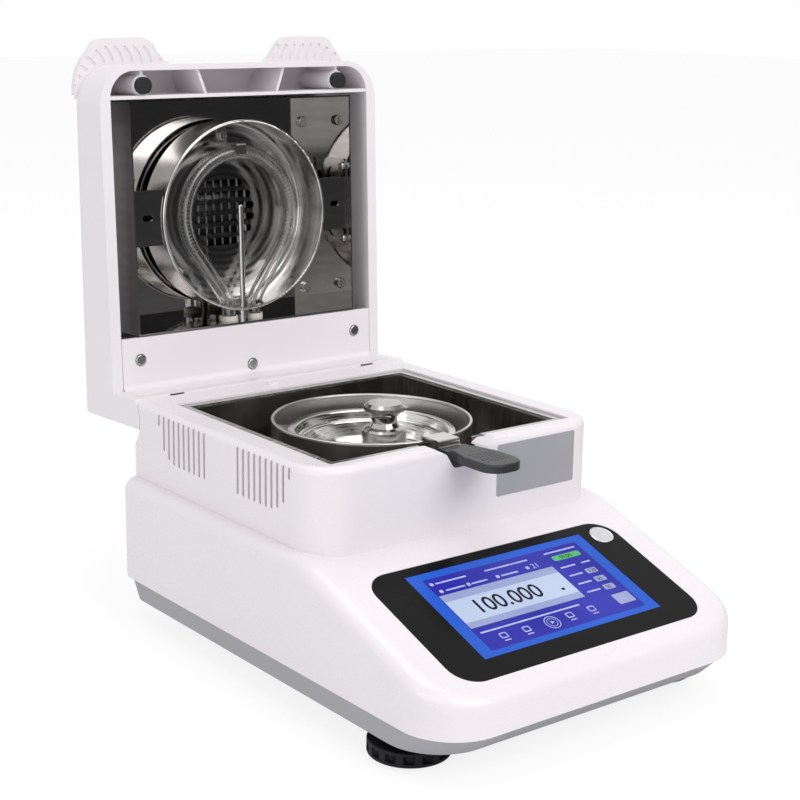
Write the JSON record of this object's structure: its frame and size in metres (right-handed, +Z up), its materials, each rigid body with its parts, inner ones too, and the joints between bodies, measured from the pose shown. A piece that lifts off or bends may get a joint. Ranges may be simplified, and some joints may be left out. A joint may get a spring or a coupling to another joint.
{
  "type": "moisture_analyzer",
  "caption": "Halogen moisture analyzer with its heater lid folded up, a sample pan on a lift-off handler, a calibration weight and a touch-screen console",
  "frame": {"origin": "middle of the footprint of the whole analyzer, on the table", "axes": "+Z up, +Y from the console at the front to the sockets at the rear, +X to the right seen from the front"},
  "size_m": [0.187, 0.3208, 0.292],
  "materials": {
    "white_shell": "satin white moulding",
    "grey_shell": "grey moulding",
    "dark_plastic": "dark grey moulding",
    "black_panel": "smooth black panel",
    "screen_glass": "display glass",
    "button_metal": "satin anodised",
    "bright_steel": "bright stainless sheet",
    "polished_steel": "polished stainless steel",
    "black_steel": "dark coated steel",
    "beam_aluminium": "milled",
    "brass": "turned brass",
    "rubber": "soft rubber",
    "board_green": "coated board",
    "lamp_glass": "clear quartz",
    "tungsten": "drawn wire",
    "ceramic": "fired ceramic"
  },
  "bodies": {
    "base": {"base_tray": "grey_shell", "main_housing": "white_shell", "chamber_frame": "polished_steel", "chamber_liner": "bright_steel", "liner_pillars": "beam_aluminium", "draft_ring": "bright_steel", "lid_sensor": "white_shell", "bezel_panel": "black_panel", "display_screen": "screen_glass", "display_board": "board_green", "button_switch": "dark_plastic", "load_cell": "beam_aluminium", "load_cell_mount": "beam_aluminium", "overload_stop": "beam_aluminium", "pan_support": "beam_aluminium", "main_board": "board_green", "power_supply": "board_green", "mains_socket": "dark_plastic", "socket_screws": "polished_steel", "switch_body": "dark_plastic", "serial_port": "polished_steel", "hinge_brackets": "black_steel", "hinge_bushes": "brass", "foot_nuts": "brass", "rear_feet": "rubber", "rear_foot_screws": "polished_steel", "tray_screws": "polished_steel"},
    "lid": {"lid_shell": "white_shell", "hinge_pins": "polished_steel", "hinge_cover": "white_shell", "cover_screws": "polished_steel", "lid_pads": "rubber", "heater_box": "polished_steel", "box_screws": "polished_steel", "reflector_dish": "polished_steel", "dish_brackets": "polished_steel", "bracket_screws": "polished_steel", "halogen_lamp": "lamp_glass", "lamp_filament": "tungsten", "lamp_caps": "ceramic", "lamp_holder": "ceramic", "lamp_clip": "polished_steel", "dish_screws": "polished_steel", "temperature_probe": "polished_steel", "probe_ferrule": "polished_steel"},
    "power_button": {"power_button": "button_metal"},
    "rocker": {"rocker_switch": "black_panel"},
    "left_sole": {"foot_sole_left": "rubber"},
    "left_wheel": {"foot_wheel_left": "dark_plastic"},
    "right_sole": {"foot_sole_right": "rubber"},
    "right_wheel": {"foot_wheel_right": "dark_plastic"},
    "handler": {"handler_ring": "bright_steel", "handler_clip": "polished_steel", "handler_grip": "dark_plastic"},
    "pan": {"sample_pan": "polished_steel"},
    "weight": {"test_weight": "polished_steel"}
  },
  "joints": [
    {"name": "lid_hinge", "type": "hinge", "parent": "base", "child": "lid", "pos_m": [0, 0.10734, 0.1038], "axis": [-1, 0, 0], "range_deg": [-92.25, 0]},
    {"name": "power_push", "type": "slide", "parent": "base", "child": "power_button", "axis": [0, -0.3355, 0.9421], "range_m": [-0.001, 0], "stiffness_N_per_m": 400, "springref_m": 0.002},
    {"name": "mains_rocker", "type": "hinge", "parent": "base", "child": "rocker", "pos_m": [-0.008, 0.10114, 0.046], "axis": [1, 0, 0], "range_deg": [-8, 8]},
    {"name": "handler_lift", "type": "slide", "parent": "base", "child": "handler", "axis": [0, 0, 1], "range_m": [0, 0.06]},
    {"name": "pan_lift", "type": "slide", "parent": "handler", "child": "pan", "axis": [0, 0, 1], "range_m": [0, 0.04]},
    {"name": "weight_lift", "type": "slide", "parent": "pan", "child": "weight", "axis": [0, 0, 1], "range_m": [0, 0.05]},
    {"name": "left_foot_slide", "type": "slide", "parent": "base", "child": "left_sole", "axis": [0, 0, 1], "range_m": [-0.002, 0.002]},
    {"name": "left_foot_turn", "type": "hinge", "parent": "left_sole", "child": "left_wheel", "pos_m": [-0.075, -0.11636, 0.004], "axis": [0, 0, 1], "range_deg": [-720, 720]},
    {"name": "right_foot_slide", "type": "slide", "parent": "base", "child": "right_sole", "axis": [0, 0, 1], "range_m": [-0.002, 0.002]},
    {"name": "right_foot_turn", "type": "hinge", "parent": "right_sole", "child": "right_wheel", "pos_m": [0.075, -0.11636, 0.004], "axis": [0, 0, 1], "range_deg": [-720, 720]}
  ],
  "couplings": [
    {"joint": "left_foot_turn", "follows": "left_foot_slide", "rad_per_m": 6283.2},
    {"joint": "right_foot_turn", "follows": "right_foot_slide", "rad_per_m": 6283.2}
  ]
}
